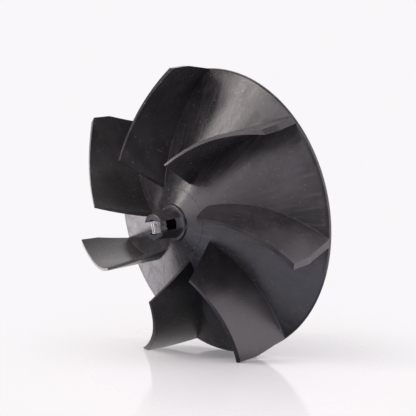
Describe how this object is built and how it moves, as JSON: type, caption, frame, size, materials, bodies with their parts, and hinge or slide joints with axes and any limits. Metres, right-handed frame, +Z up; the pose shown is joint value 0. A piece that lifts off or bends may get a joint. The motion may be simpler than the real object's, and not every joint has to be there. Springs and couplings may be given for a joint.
{
  "type": "blower motor wheel",
  "caption": "Open-front black plastic blower wheel with swept blades on a conical back plate, a split hub for the motor shaft and a steel clip in the hub's slot.",
  "frame": {"origin": "on the shaft axis, at the rear mouth of the shaft bore", "axes": "+Y along the shaft axis towards the motor, so the open front faces -Y; +Z up, towards the outer tip of the first blade; +X to the right as seen from the front"},
  "size_m": [0.1551, 0.0584, 0.1542],
  "materials": {
    "moulding": "black moulded plastic, satin to semi-gloss",
    "clip_steel": "bright spring steel"
  },
  "bodies": {
    "wheel": {"back_plate": "moulding", "rim_bead": "moulding", "hub_cone": "moulding", "hub_collar": "moulding", "shaft_sleeve": "moulding", "upper_jaw": "moulding", "lower_jaw": "moulding", "rear_ribs": "moulding", "blade_1": "moulding", "blade_2": "moulding", "blade_3": "moulding", "blade_4": "moulding", "blade_5": "moulding", "blade_6": "moulding", "blade_7": "moulding"},
    "clip": {"shaft_clip": "clip_steel"}
  },
  "joints": [
    {"name": "clip_pull", "type": "slide", "parent": "wheel", "child": "clip", "axis": [0, -1, 0], "range_m": [0, 0.015]}
  ]
}
